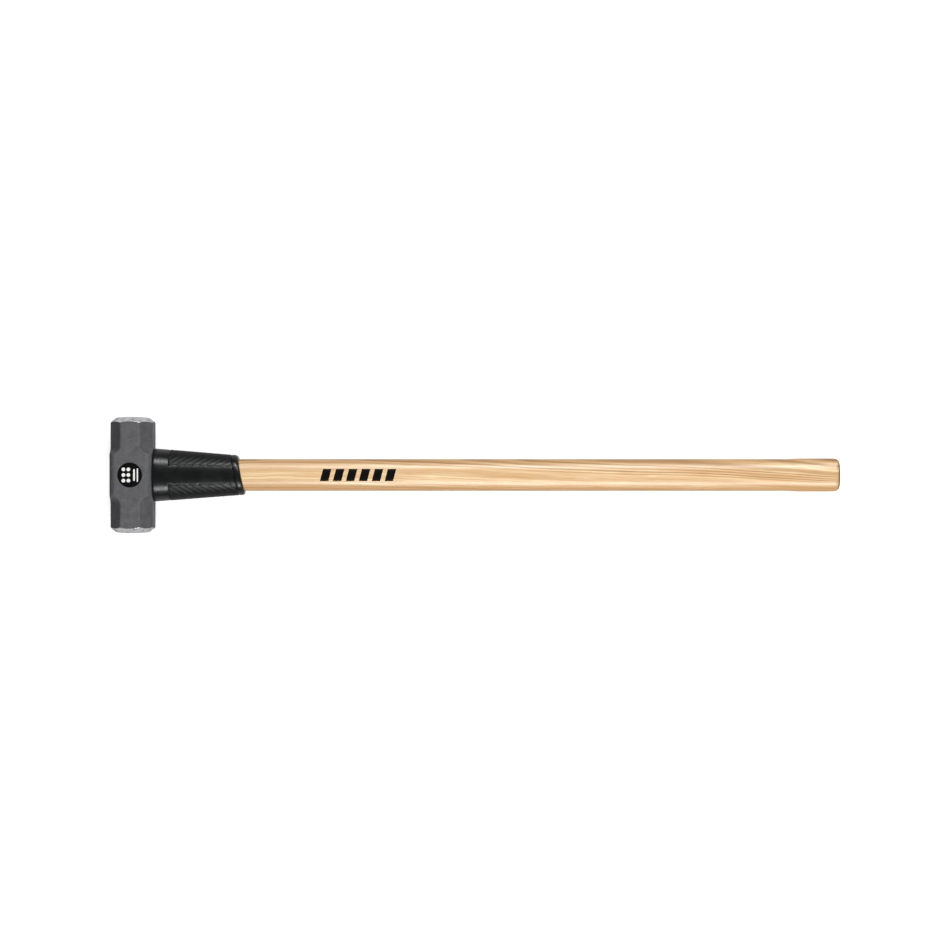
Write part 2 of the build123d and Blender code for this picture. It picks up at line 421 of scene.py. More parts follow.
# %% The handle's skin
around_handle = 128
tongue_gap = 0.1 * MM
rings = []
for x in spread((tongue_end, half_side - 0.2 * MM, 4 * MM)):
    narrow = eye_flare(x) - tongue_gap
    rings.append(oval_ring(x, eye_length + narrow, eye_width + narrow, around=around_handle))
shaft_places = [(half_side, swell_start, 6 * MM), (swell_start, swell_end, 2 * MM)]
shaft_places += [(swell_end, handle_end - grip_rounding, 4 * MM)]
for x in spread(*shaft_places):
    rings.append(oval_ring(x, *handle_size(x), shaft_power, around_handle))
for angle in np.radians(np.arange(6, 91, 6)):
    inset = 2 * grip_rounding * (1 - math.cos(angle))
    x = handle_end - grip_rounding * (1 - math.sin(angle))
    rings.append(oval_ring(x, grip_width - inset, grip_depth - inset, shaft_power, around_handle))
end_middle = np.array([handle_end, 0, axis_height])
for share in (0.75, 0.5, 0.25):
    inset = 2 * grip_rounding
    oval = oval_ring(handle_end, grip_width - inset, grip_depth - inset, shaft_power, around_handle)
    rings.append((oval - end_middle) * [1, share, share] + end_middle)
handle = skin("hickory_handle", rings)
print(f"handle: {len(handle.data.polygons)} faces, {(handle_end - tongue_end) / MM:.1f} mm long")

# %% [markdown]
# The tongue was sawn down its middle and spread by a wooden wedge, and two steel wedges were driven across
# it. Their ends show at the top of the head. The slots are the wedges' own outlines, read from the frame, a
# hair larger.


# %% Slots for the wedges
def taper_block(name, x0, x1, half0, half1, middle_y=0.0):
    """A block along X between x0 and x1, with half sizes (y, z) at each end."""
    square = np.array([(-1, -1), (1, -1), (1, 1), (-1, 1)])
    ends = []
    for x, half in ((x0, half0), (x1, half1)):
        sized = square * half
        ends.append(np.stack([np.full(4, x), sized[:, 0] + middle_y, sized[:, 1] + axis_height], 1))
    return skin(name, ends)


wood_low, wood_high = (np.array(corner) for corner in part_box("wood_wedge"))
wood_half = (wood_high[2] - wood_low[2]) / 2
kerf_half = 0.8 * MM
past = 2 * MM
slot_half = 30 * MM  # past the tongue's width
slope = (wood_half - kerf_half) / (wood_high[0] - wood_low[0])
tip_half = 0.5 * MM  # of a steel wedge
wide_end = (slot_half, wood_half + slope * past)
slots = [taper_block("wood_slot", wood_low[0] - past, wood_high[0], wide_end, (slot_half, kerf_half))]
for node in ("front_steel_wedge", "back_steel_wedge"):
    low, high = (np.array(corner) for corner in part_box(node))
    half_thick = (high[1] - low[1]) / 2
    half_wide = (high[2] - low[2]) / 2
    lean = (half_thick - tip_half) / (high[0] - low[0]) * past
    wide_end = (half_thick + lean, half_wide)
    middle = (low[1] + high[1]) / 2
    slots.append(taper_block(node + "_slot", low[0] - past, high[0], wide_end, (tip_half, half_wide), middle))
cut_away(handle, slots)
smooth(handle)
print(f"handle: {len(handle.data.polygons)} faces with its slots")

# %% [markdown]
# ## The overstrike guard
# The guard is one rubber moulding that takes the blow when a swing misses. Its outside tapers from the head
# to the shaft and ends in a slanted rim. A plain strip runs along the middle of each cheek side; the narrow
# sides carry panels of slanting grip pads, which meet in a herringbone, and a groove frames each panel. All
# of that could be drawn as bump, but a moulded groove has to hold from any side, so it is shape, and the
# skin is fine enough for it, at about half a millimetre.

# %% Sizes of the guard
guard_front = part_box("overstrike_guard")[0][0]
guard_length = 110.5 * MM
guard_slant = math.tan(math.radians(10.5))
front_width, front_depth = 67 * MM, 49 * MM
rear_width, rear_depth = 49.4 * MM, 39.4 * MM
guard_power = 2.25
front_rounding = 2.6 * MM
rear_rounding = 3.2 * MM
strip_half = 11.4 * MM
front_band = 20.7 * MM
rim_band = 8.4 * MM
groove_half = 0.75 * MM
groove_depth = 0.8 * MM
pad_pitch = 9.4 * MM
pad_groove_share = 0.42  # of the frame grooves' depth
pad_dome = 0.16 * MM
pad_edge = 1.6 * MM  # over which a dome falls to the panel's frame
rim_bead = 0.3 * MM
rim_bead_middle = 4.2 * MM
rim_bead_half = 3.4 * MM
polished_edge = 5 * MM  # of the panels, beside the plain strip


def guard_size(along):
    """The guard's outer width and depth at a distance along it from its front."""
    share = along / guard_length
    width = front_width + (rear_width - front_width) * share
    return width, front_depth + (rear_depth - front_depth) * share


print("half way along, the guard is", [round(size / MM, 1) for size in guard_size(guard_length / 2)], "mm")

# %% [markdown]
# The pattern is worked out as a height above or below the plain taper. The places that it needs are the
# distance from the front, the distance from the slanted end and the distance round the side from the edge
# of the plain strip. Beside it goes how coarse the moulded grain is, which the rubber's finish reads.


# %% The guard's pattern
def dip(distance, half=groove_half):
    """A groove's depth, from 1 at its middle to 0 at its edges."""
    share = np.clip(1 - np.abs(distance) / half, 0, 1)
    return share * share * (3 - 2 * share)


def guard_relief(x, y, round_side):
    """The pattern's height and the grain's coarseness; round_side counts from the plain strip's edge."""
    from_front = x - guard_front
    from_end = guard_front + guard_length - guard_slant * y - x
    panel = (round_side > 0) & (from_front > front_band) & (from_end > rim_band)
    frame_line = dip(round_side) * (from_front > front_band) * (from_end > rim_band)
    front_line = dip(from_front - front_band) * (round_side > 0)
    rim_line = dip(from_end - rim_band)
    across_pads = (from_front - front_band - round_side) / pad_pitch % 1
    from_pad_line = np.minimum(across_pads, 1 - across_pads) * pad_pitch * math.cos(math.radians(45))
    pad_line = dip(from_pad_line) * pad_groove_share
    edge_distance = np.minimum(round_side, np.minimum(from_front - front_band, from_end - rim_band))
    inside = np.clip(edge_distance / pad_edge, 0, 1)
    dome = np.sin(math.pi * across_pads) ** 0.7 * pad_dome * inside * panel
    grooves = np.maximum(np.maximum(frame_line, front_line), np.maximum(rim_line, pad_line * panel))
    bead = np.clip(1 - ((from_end - rim_bead_middle) / rim_bead_half) ** 2, 0, 1) * rim_bead
    coarse = np.clip(round_side / polished_edge, 0, 1) * panel
    return dome + bead - grooves * groove_depth, coarse


print("a groove's depth from its middle out:", dip(np.linspace(0, groove_half, 4)).round(2))


# %% The guard's section
quarter = np.radians(spread((0, 75, 0.85), (75, 90, 1.5)))
angles = np.concatenate([quarter, math.pi - quarter[::-1][1:], math.pi + quarter[1:]])
angles = np.concatenate([angles, 2 * math.pi - quarter[::-1][1:-1]])
cos_turn, sin_turn = np.cos(angles), np.sin(angles)


def section(width, depth, power):
    """The y and z of a rounded oval about the handle's axis, at the guard's angles."""
    y = np.sign(cos_turn) * np.abs(cos_turn) ** (2 / power) * width / 2
    z = np.sign(sin_turn) * np.abs(sin_turn) ** (2 / power) * depth / 2
    return y, z


def round_side_of(y, z):
    """The distance round the section from the plain strip's edge, the same on both cheek sides."""
    last = len(quarter)
    steps = np.hypot(np.diff(y[:last]), np.diff(z[:last]))
    from_middle = np.concatenate([[0], np.cumsum(steps[::-1])])
    by_y = y[:last][::-1]
    return np.interp(np.abs(y), by_y, from_middle) - np.interp(strip_half, by_y, from_middle)


def outward(y, z):
    """The outward direction at each point of a section."""
    along_y = np.roll(y, -1) - np.roll(y, 1)
    along_z = np.roll(z, -1) - np.roll(z, 1)
    length = np.hypot(along_y, along_z)
    return along_z / length, -along_y / length


def guard_ring(along, y, z):
    """A ring of the guard: its slant grows from nothing at the front to the whole at the end."""
    x = guard_front + along - guard_slant * y * (along / guard_length) ** 2
    return np.stack([x, y, z + axis_height], 1)


print(f"{len(angles)} points round each ring of the guard")

# %% The guard's skin
rings = []
grips = {}
for turned in np.radians(np.arange(0, 90, 10)):
    along = front_rounding * (1 - math.cos(turned))
    inset = front_rounding * (1 - math.sin(turned))
    width, depth = guard_size(along)
    rings.append(guard_ring(along, *section(width - 2 * inset, depth - 2 * inset, guard_power)))
fine_steps = ((2.6, 19.5, 1.6), (19.5, 22.2, 0.3), (22.2, 100, 0.5), (100, 104, 0.3), (104, 107.3, 0.4))
for along in spread(*fine_steps) * MM:
    y, z = section(*guard_size(along), guard_power)
    x = guard_ring(along, y, z)[:, 0]
    height, grip = guard_relief(x, y, round_side_of(y, z))
    out_y, out_z = outward(y, z)
    grips[len(rings)] = grip
    rings.append(guard_ring(along, y + out_y * height, z + out_z * height))
for turned in np.radians(np.arange(80, -1, -10)):
    along = guard_length - rear_rounding * (1 - math.cos(turned))
    inset = rear_rounding * (1 - math.sin(turned))
    width, depth = guard_size(along)
    rings.append(guard_ring(along, *section(width - 2 * inset, depth - 2 * inset, guard_power)))
bore_steps = ((110.5, 0.9), (110.1, 0.3), (109.5, 0.1), (80, 0.1), (50, 0.1), (20, 0.1), (0, 0.1))
for along, gap in np.array(bore_steps) * MM:
    width, depth = handle_size(guard_front + along)
    rings.append(guard_ring(along, *section(width + 2 * gap, depth + 2 * gap, shaft_power)))
guard = skin("rubber_guard", rings, joined=True)
nothing = np.zeros(len(angles))
grip_layer = guard.data.attributes.new("grip", "FLOAT", "POINT")
grip_values = np.concatenate([grips.get(number, nothing) for number in range(len(rings))])
grip_layer.data.foreach_set("value", grip_values.astype(np.float32))
smooth(guard, 60)
print(f"guard: {len(guard.data.polygons)} faces")

# %% [markdown]
# ## Label and stamp
# The label is a round black film on the upper cheek. Its print, six spots for six pounds and two short
# lines, is white ink that stands a few hundredths of a millimetre proud. The handle carries a row of
# slanting bars in black ink. Marks could be painted by a material, but thin skins of their own keep their
# edges crisp from any distance; the bars follow the shaft's roundness.

# %% The label
label_low, label_high = (np.array(corner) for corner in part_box("weight_label"))
label_x, label_y = (label_low + label_high)[:2] / 2
label_radius = (label_high[0] - label_low[0]) / 2
film_edge = 0.06 * MM
print_height = 0.04 * MM
print_edge = 0.01 * MM
spot_radius = 2.3 * MM


def plate(name, outline, base, top, edge):
    """A flat plate of a convex outline, with its upper edge taken off by edge."""
    outline = np.asarray(outline, float)
    middle = outline.mean(0)
    inner = middle + (outline - middle) * (1 - edge / np.abs(outline - middle).max())
    rings = [np.column_stack([outline, np.full(len(outline), base)])]
    rings.append(np.column_stack([outline, np.full(len(outline), top - edge)]))
    rings.append(np.column_stack([inner, np.full(len(outline), top)]))
    return skin(name, rings)


def round_bar(x, y, half_x, half_y, points=12):
    """The outline of a bar with round ends, about (x, y); with equal halves it is a circle."""
    radius = min(half_x, half_y)
    outline = []
    for start, corner_x, corner_y in ((0, 1, 1), (90, -1, 1), (180, -1, -1), (270, 1, -1)):
        for angle in np.radians(np.linspace(start, start + 90, points)):
            at_x = x + corner_x * (half_x - radius) + radius * math.cos(angle)
            outline.append((at_x, y + corner_y * (half_y - radius) + radius * math.sin(angle)))
    return outline


film_top = label_high[2]
disc = round_bar(label_x, label_y, label_radius, label_radius, 32)
film = plate("label_film", disc, label_low[2], film_top, film_edge)
outlines = []
for x in (-7.8, -1.6):
    for y in (-7, 0, 7):
        outlines.append(round_bar(label_x + x * MM, label_y + y * MM, spot_radius, spot_radius))
for x, half_wide, half_long in ((5.4, 1.1, 7.4), (9.6, 0.8, 8.4)):
    outlines.append(round_bar(label_x + x * MM, label_y, half_wide * MM, half_long * MM))
print_low, print_top = film_top - print_height, film_top + print_height
marks = []
for number, outline in enumerate(outlines):
    marks.append(plate(f"mark_{number}", outline, print_low, print_top, print_edge))
label_print = join("label_print", marks)
print(f"label: {2 * label_radius / MM:.0f} mm across, with {len(marks)} printed marks")

# %% The stamp on the handle
stamp_start = 236 * MM
bar_width, bar_pitch, bar_lean = 10.5 * MM, 16.2 * MM, 4 * MM
stamp_half = 7.6 * MM
ink_height = 0.05 * MM


def shaft_top(y):
    """The height of the straight shaft's surface at y."""
    share = (1 - abs(2 * y / shaft_width) ** shaft_power) ** (1 / shaft_power)
    return axis_height + shaft_depth / 2 * share


bar_count = 6
bars = []
for number in range(bar_count):
    rings = []
    for share in np.linspace(0, 1, 25):
        y = (2 * share - 1) * stamp_half
        left = stamp_start + number * bar_pitch + share * bar_lean
        right = left + bar_width
        top = shaft_top(y) + ink_height
        low = shaft_top(y) - 3 * ink_height
        rings.append([(left, y, top), (right, y, top), (right, y, low), (left, y, low)])
    bars.append(skin(f"bar_{number}", rings))
stamp = join("ink_stamp", bars)
print(f"stamp: {((bar_count - 1) * bar_pitch + bar_width + bar_lean) / MM:.0f} mm long")

# %% [markdown]
# ## Coordinates for the patterns
# A pattern can be wrapped on an unfolded skin or drawn in space. Wood grain and grit run through the whole
# piece, so every pattern here is drawn in space, in millimetres from the frame's origin, and its scale is a
# real size. A piece's object coordinates are those places in metres, which one multiplication changes.


# %% Places in millimetres
def places_in_mm(tree):
    """Every surface point's place in the frame, in millimetres."""
    place = add_node(tree, "ShaderNodeTexCoord").node.outputs["Object"]
    per_metre = (1000, 1000, 1000)
    return add_node(tree, "ShaderNodeVectorMath", {0: place, 1: per_metre}, operation="MULTIPLY")


def noise_over(tree, place, sizes, detail=2.0, roughness=0.5):
    """A noise whose patches measure sizes, in millimetres along X, Y and Z."""
    scale = tuple(1 / size for size in sizes)
    scaled = add_node(tree, "ShaderNodeVectorMath", {0: place, 1: scale}, operation="MULTIPLY")
    inputs = {"Vector": scaled, "Scale": 1.0, "Detail": detail, "Roughness": roughness}
    return add_node(tree, "ShaderNodeTexNoise", inputs)


print("patterns are measured in millimetres")

# %% [markdown]
# ## Grey enamel on forged steel, with ground ends
# The head is dipped in grey enamel, then its faces and bevels are ground bright. The enamel is satin and a
# little grainy from the scale under it. Along the edges at the head's sides it is painted lighter, as a
# painted highlight, and on the corner flats it is painted a shade darker, as painted shade. The ground steel
# is bare metal with fine rings from the wheel and cloudy patches where it was polished more. Which one a
# point has is worked out from where it is: beyond the cone of the bevel it is ground. The enamel's grit,
# about half a millimetre on a real head, is drawn at 1.3 mm, because a finer one wouldn't show.

# %% The head's finish
head_finish, tree, shader = new_material("grey_enamel_and_ground_steel")
place = places_in_mm(tree)
split = add_node(tree, "ShaderNodeSeparateXYZ", {0: place}).node
sideways, along, up = (split.outputs[axis] for axis in "XYZ")
height = add_node(tree, "ShaderNodeMath", {0: up, 1: float(axis_height / MM)}, operation="SUBTRACT")
from_axis = add_node(tree, "ShaderNodeCombineXYZ", {"X": sideways, "Y": height})
from_axis = add_node(tree, "ShaderNodeVectorMath", {0: from_axis}, operation="LENGTH")
radius = from_axis.node.outputs["Value"]
along = add_node(tree, "ShaderNodeMath", {0: along}, operation="ABSOLUTE")
cone = add_node(tree, "ShaderNodeMath", {0: radius, 1: bevel_slope, 2: along}, operation="MULTIPLY_ADD")
cone_end = (half_length - crown_sag + bevel_slope * face_radius) / MM
wander = noise_over(tree, place, (5, 5, 5), 4)
beyond = add_node(tree, "ShaderNodeMath", {0: wander, 1: 0.3, 2: cone}, operation="MULTIPLY_ADD")
bevel_limits = {"Value": beyond, "From Min": cone_end - 0.25, "From Max": cone_end - 0.1}
on_bevel = add_node(tree, "ShaderNodeMapRange", bevel_limits)
face_from = half_length / MM - 2.2  # past every painted point
on_face = add_node(tree, "ShaderNodeMath", {0: along, 1: face_from}, operation="GREATER_THAN")
ground = add_node(tree, "ShaderNodeMath", {0: on_bevel, 1: on_face}, operation="MAXIMUM")
print(f"ground beyond a cone that ends at {cone_end:.1f} mm")

# %% The enamel
grit = noise_over(tree, place, (1.3, 1.3, 1.3), 3, 0.75)
mottle = noise_over(tree, place, (9, 9, 9), 3)
grain = add_node(tree, "ShaderNodeMath", {0: mottle, 1: 0.5, 2: grit}, operation="MULTIPLY_ADD")
stops = [(0.5, linear("#434345")), (1.0, linear("#66666a")), (0.75, linear("#535355"))]
enamel = add_node(tree, "ShaderNodeValToRGB", {"Fac": grain}, stops)
# painted shade: the enamel of the corner flats is mixed towards a darker grey
flat_shade = add_node(tree, "ShaderNodeAttribute", attribute_name="corner_flat").node.outputs["Fac"]
flat_shade = add_node(tree, "ShaderNodeMath", {0: flat_shade, 1: 0.27}, operation="MULTIPLY")
inputs = {0: flat_shade, 6: enamel, 7: linear("#39393b")}
enamel = add_node(tree, "ShaderNodeMix", inputs, data_type="RGBA").node.outputs[2]
# painted highlight: the enamel is mixed towards a light grey along the edges, most towards the head's sides
edge = add_node(tree, "ShaderNodeAttribute", attribute_name="edge").node.outputs["Fac"]
edge_highlight = add_node(tree, "ShaderNodeMath", {0: edge, 1: grit}, operation="MULTIPLY")
edge_highlight_limits = {"Value": edge_highlight, "From Min": 0.2, "From Max": 0.55, "To Max": 0.75}
edge_highlight = add_node(tree, "ShaderNodeMapRange", edge_highlight_limits)
inputs = {0: edge_highlight, 6: enamel, 7: linear("#8e8e92")}
enamel = add_node(tree, "ShaderNodeMix", inputs, data_type="RGBA").node.outputs[2]
print("the enamel's grit is 1.3 mm")

# %% The ground steel
rings_place = add_node(tree, "ShaderNodeCombineXYZ", {"X": radius, "Y": along})
wheel = noise_over(tree, rings_place, (0.35, 0.35, 1), 3, 0.7)  # rings 0.35 mm wide
patches = noise_over(tree, place, (7, 7, 7), 2)
polish = add_node(tree, "ShaderNodeMath", {0: wheel, 1: 0.35}, operation="MULTIPLY")
polish = add_node(tree, "ShaderNodeMath", {0: patches, 1: 0.5, 2: polish}, operation="MULTIPLY_ADD")
stops = [(0.3, linear("#b0b0b3")), (0.58, linear("#f4f4f5")), (0.43, linear("#d6d6d8"))]
steel = add_node(tree, "ShaderNodeValToRGB", {"Fac": polish}, stops)
inputs = {0: ground, 6: enamel, 7: steel}
colour = add_node(tree, "ShaderNodeMix", inputs, data_type="RGBA").node.outputs[2]
steel_rough = add_node(tree, "ShaderNodeMapRange", {"Value": patches, "To Min": 0.2, "To Max": 0.42})
enamel_rough = add_node(tree, "ShaderNodeMapRange", {"Value": grit, "To Min": 0.42, "To Max": 0.6})
rough = add_node(tree, "ShaderNodeMix", {0: ground, 2: enamel_rough, 3: steel_rough})
relief = add_node(tree, "ShaderNodeMix", {0: ground, 2: grit, 3: wheel})
bump = add_node(tree, "ShaderNodeBump", {"Height": relief, "Strength": 0.35, "Distance": 0.00006})
tree.links.new(colour, shader.inputs["Base Color"])
tree.links.new(ground, shader.inputs["Metallic"])
tree.links.new(rough, shader.inputs["Roughness"])
tree.links.new(bump, shader.inputs["Normal"])
head.data.materials.append(head_finish)
print("the head's finish has", len(tree.nodes), "nodes")

# %% [markdown]
# ## Lacquered hickory
# Hickory is pale, straight and coarse: each year starts with a ring of open pores, which show as fine brown
# lines where the stick is cut along them and as dark pointed patches where a ring only just breaks the
# surface. Stripes on the surface would run straight past those patches, so the rings are drawn in space, as
# cylinders about the tree's heart some way outside the stick, and the surface cuts them as a saw would. Slow
# noise bends them, and they curve away along the stick, as the grain of a real one runs out of its side
# towards the grip. The rings are 4.2 mm wide, about twice a real tree's, because narrower ones wouldn't show.

# %% The grain's run
hickory, tree, shader = new_material("lacquered_hickory")
place = places_in_mm(tree)
bend = noise_over(tree, place, (420, 60, 60), 1).node.outputs["Color"]
bend = add_node(tree, "ShaderNodeVectorMath", {0: bend, 1: (0.5, 0.5, 0.5)}, operation="SUBTRACT")
bend = add_node(tree, "ShaderNodeVectorMath", {0: bend, 1: (0, 22, 22)}, operation="MULTIPLY")
wobble = noise_over(tree, place, (90, 25, 25), 2).node.outputs["Color"]
wobble = add_node(tree, "ShaderNodeVectorMath", {0: wobble, 1: (0, 2.4, 2.4)}, operation="MULTIPLY")
bent = add_node(tree, "ShaderNodeVectorMath", {0: place, 1: bend}, operation="ADD")
bent = add_node(tree, "ShaderNodeVectorMath", {0: bent, 1: wobble}, operation="ADD")
grain_bend = 3.4e-5  # millimetres sideways for each square millimetre along the handle
lengthwise = add_node(tree, "ShaderNodeSeparateXYZ", {0: place}).node.outputs["X"]
run_out = add_node(tree, "ShaderNodeMath", {0: lengthwise, 1: lengthwise}, operation="MULTIPLY")
run_out = add_node(tree, "ShaderNodeMath", {0: run_out, 1: grain_bend}, operation="MULTIPLY")
run_out = add_node(tree, "ShaderNodeCombineXYZ", {"Y": run_out})
leant = add_node(tree, "ShaderNodeVectorMath", {0: bent, 1: run_out}, operation="ADD")
heart = (0, 140, 60 - float(axis_height / MM))
from_heart = add_node(tree, "ShaderNodeVectorMath", {0: leant, 1: heart}, operation="ADD")
from_heart = add_node(tree, "ShaderNodeVectorMath", {0: from_heart, 1: (0, 1, 1)}, operation="MULTIPLY")
from_heart = add_node(tree, "ShaderNodeVectorMath", {0: from_heart}, operation="LENGTH")
ring_radius = from_heart.node.outputs["Value"]
print(f"the grain runs out by {grain_bend * (handle_end / MM) ** 2:.0f} mm along the handle")

# %% The years' rings
ring_width = 4.2
years = add_node(tree, "ShaderNodeMath", {0: ring_radius, 1: ring_width}, operation="DIVIDE")
slow = {"W": years, "Scale": 0.35, "Detail": 1.0}
uneven = add_node(tree, "ShaderNodeTexNoise", slow, noise_dimensions="1D")
years = add_node(tree, "ShaderNodeMath", {0: uneven, 1: 2.2, 2: years}, operation="MULTIPLY_ADD")
year = add_node(tree, "ShaderNodeMath", {0: years}, operation="FLOOR")
season = add_node(tree, "ShaderNodeMath", {0: years}, operation="FRACT")
strength = add_node(tree, "ShaderNodeTexWhiteNoise", {"W": year}, noise_dimensions="1D")
strength = add_node(tree, "ShaderNodeMapRange", {"Value": strength, "To Min": 0.25})
stops = [(0.0, grey(0.7)), (1.0, grey(0.55)), (0.08, grey(1.0)), (0.3, grey(0.45)), (0.65, grey(0.0))]
ring_line = add_node(tree, "ShaderNodeValToRGB", {"Fac": season}, stops)
ring_line = add_node(tree, "ShaderNodeMath", {0: ring_line, 1: strength}, operation="MULTIPLY")
outermost = {"Value": ring_radius, "From Min": 170, "From Max": 185}
dark_years = add_node(tree, "ShaderNodeMapRange", outermost)
dark_years = add_node(tree, "ShaderNodeMath", {0: dark_years, 1: ring_line}, operation="MULTIPLY")
print(f"a year's ring is about {ring_width} mm wide")

# %% [markdown]
# Over the rings go fine fibres that run along the stick, the pores themselves, slow drifts of a browner
# tone, painted shade that turns the narrow sides a deeper orange, and the end grain, which soaks up the
# lacquer and turns dark at the rounded grip end and at the top of the tongue.

# %% Fibres, pores and ends
fibre = noise_over(tree, leant, (80, 1.5, 1.5), 5, 0.7)
pores = noise_over(tree, leant, (9, 0.45, 0.45), 2)
pores = add_node(tree, "ShaderNodeMapRange", {"Value": pores, "From Min": 0.6, "From Max": 0.75})
pores = add_node(tree, "ShaderNodeMath", {0: pores, 1: ring_line}, operation="MULTIPLY")
drift = noise_over(tree, leant, (230, 12, 12), 2)
drift_limits = {"Value": drift, "From Min": 0.4, "From Max": 0.7, "To Max": 0.6}
drift = add_node(tree, "ShaderNodeMapRange", drift_limits)
grip_x, tongue_x = float(handle_end / MM), float(tongue_end / MM)
grip_limits = {"Value": lengthwise, "From Min": grip_x - 3.4, "From Max": grip_x - 1.8}
top_limits = {"Value": lengthwise, "From Min": tongue_x + 0.4, "From Max": tongue_x}
grip_end = add_node(tree, "ShaderNodeMapRange", grip_limits)
top_end = add_node(tree, "ShaderNodeMapRange", top_limits)
end_grain = add_node(tree, "ShaderNodeMath", {0: grip_end, 1: top_end}, operation="MAXIMUM")
end_grain = add_node(tree, "ShaderNodeMath", {0: end_grain, 1: 0.85}, operation="MULTIPLY")
# painted shade: surfaces that face sideways are mixed towards a deeper orange
facing = add_node(tree, "ShaderNodeTexCoord").node.outputs["Normal"]
facing = add_node(tree, "ShaderNodeSeparateXYZ", {0: facing}).node.outputs["Y"]
facing = add_node(tree, "ShaderNodeMath", {0: facing}, operation="ABSOLUTE")
side_shade_limits = {"Value": facing, "From Min": 0.4, "From Max": 0.95, "To Max": 0.75}
side_shade = add_node(tree, "ShaderNodeMapRange", side_shade_limits)
ring_amount = add_node(tree, "ShaderNodeMath", {0: ring_line, 1: 0.95}, operation="MULTIPLY")
pore_amount = add_node(tree, "ShaderNodeMath", {0: pores, 1: 0.6}, operation="MULTIPLY")
print(f"end grain from {grip_x - 3.4:.1f} mm on")

# %% The wood's colour and lacquer
stops = [(0.36, linear("#d8b082")), (0.64, linear("#fae1b8"))]
wood = add_node(tree, "ShaderNodeValToRGB", {"Fac": fibre}, stops)
layers = [
    (drift, "#cb9f68"),
    (side_shade, "#cf9650"),
    (ring_amount, "#ac7c45"),
    (dark_years, "#7d5329"),
    (pore_amount, "#7a5229"),
    (end_grain, "#7d4f24"),
]
for amount, layer_colour in layers:
    inputs = {0: amount, 6: wood, 7: linear(layer_colour)}
    wood = add_node(tree, "ShaderNodeMix", inputs, data_type="RGBA").node.outputs[2]
wood_rough = add_node(tree, "ShaderNodeMapRange", {"Value": fibre, "To Min": 0.36, "To Max": 0.46})
relief = add_node(tree, "ShaderNodeMath", {0: pores, 1: -1.0, 2: fibre}, operation="MULTIPLY_ADD")
bump = add_node(tree, "ShaderNodeBump", {"Height": relief, "Strength": 0.25, "Distance": 0.00005})
tree.links.new(wood, shader.inputs["Base Color"])
tree.links.new(wood_rough, shader.inputs["Roughness"])
tree.links.new(bump, shader.inputs["Normal"])
shader.inputs["IOR"].default_value = 1.5
shader.inputs["Coat Weight"].default_value = 0.5
shader.inputs["Coat Roughness"].default_value = 0.3
handle.data.materials.append(hickory)
print("the wood has", len(layers), "layers over its fibres")

# %% [markdown]
# ## Moulded rubber
# The guard is black thermoplastic rubber, moulded in a steel tool. The tool's walls were polished for the
# plain strip and the front band, which shine softly, and etched with a leather grain for the grip pads, which
# scatter the light and so look blacker from most sides. The change is gradual beside the strip, where the
# pads wear smooth and catch the light. The leather grain is 1.3 mm, the fine one half a millimetre, which is
# as fine as shows.

# %% The rubber
rubber, tree, shader = new_material("moulded_black_rubber")
place = places_in_mm(tree)
grip = add_node(tree, "ShaderNodeAttribute", attribute_name="grip").node.outputs["Fac"]
fine = noise_over(tree, place, (0.5, 0.5, 0.5), 3, 0.6)
leather = noise_over(tree, place, (1.3, 1.3, 1.3), 2, 0.5)
bloom = noise_over(tree, place, (11, 11, 11), 3)
stops = [(0.35, linear("#0a0c0b")), (0.7, linear("#121413"))]
colour = add_node(tree, "ShaderNodeValToRGB", {"Fac": bloom}, stops)
smooth_rough = add_node(tree, "ShaderNodeMapRange", {"Value": bloom, "To Min": 0.22, "To Max": 0.33})
grip_rough = add_node(tree, "ShaderNodeMapRange", {"Value": leather, "To Min": 0.34, "To Max": 0.5})
rough = add_node(tree, "ShaderNodeMix", {0: grip, 2: smooth_rough, 3: grip_rough})
shine = add_node(tree, "ShaderNodeMapRange", {"Value": grip, "To Min": 0.5, "To Max": 0.22})
relief = add_node(tree, "ShaderNodeMath", {0: leather, 1: grip}, operation="MULTIPLY")
relief = add_node(tree, "ShaderNodeMath", {0: fine, 1: 0.3, 2: relief}, operation="MULTIPLY_ADD")
bump = add_node(tree, "ShaderNodeBump", {"Height": relief, "Strength": 0.5, "Distance": 0.0002})
tree.links.new(colour, shader.inputs["Base Color"])
tree.links.new(rough, shader.inputs["Roughness"])
tree.links.new(shine, shader.inputs["Specular IOR Level"])
tree.links.new(bump, shader.inputs["Normal"])
guard.data.materials.append(rubber)
print("the pads' grain is 1.3 mm")

# %% [markdown]
# ## Wedges, label and inks
# The wooden wedge is plain hardwood whose end grain shows, darker than the handle. The steel wedges are mill
# steel with grinding marks across their ends. The label is glossy vinyl film with a matt white print, and the
# stamp's ink lies under the handle's lacquer, so it shines. All are small, so one recipe serves them: two
# colours in patches of a given size, with a grain as deep as a given depth.


# %% Small finishes
def speckled(name, dark, light, size, roughness, metallic=0.0, depth=0.00003):
    """A finish that varies between two colours in patches of the sizes given, with a fine grain."""
    material, tree, shader = new_material(name)
    place = places_in_mm(tree)
    patch = noise_over(tree, place, size, 3, 0.6)
    stops = [(0.35, linear(dark)), (0.65, linear(light))]
    colour = add_node(tree, "ShaderNodeValToRGB", {"Fac": patch}, stops)
    low, high = roughness
    rough = add_node(tree, "ShaderNodeMapRange", {"Value": patch, "To Min": low, "To Max": high})
    bump = add_node(tree, "ShaderNodeBump", {"Height": patch, "Strength": 0.3, "Distance": depth})
    tree.links.new(colour, shader.inputs["Base Color"])
    tree.links.new(rough, shader.inputs["Roughness"])
    tree.links.new(bump, shader.inputs["Normal"])
    shader.inputs["Metallic"].default_value = metallic
    return material


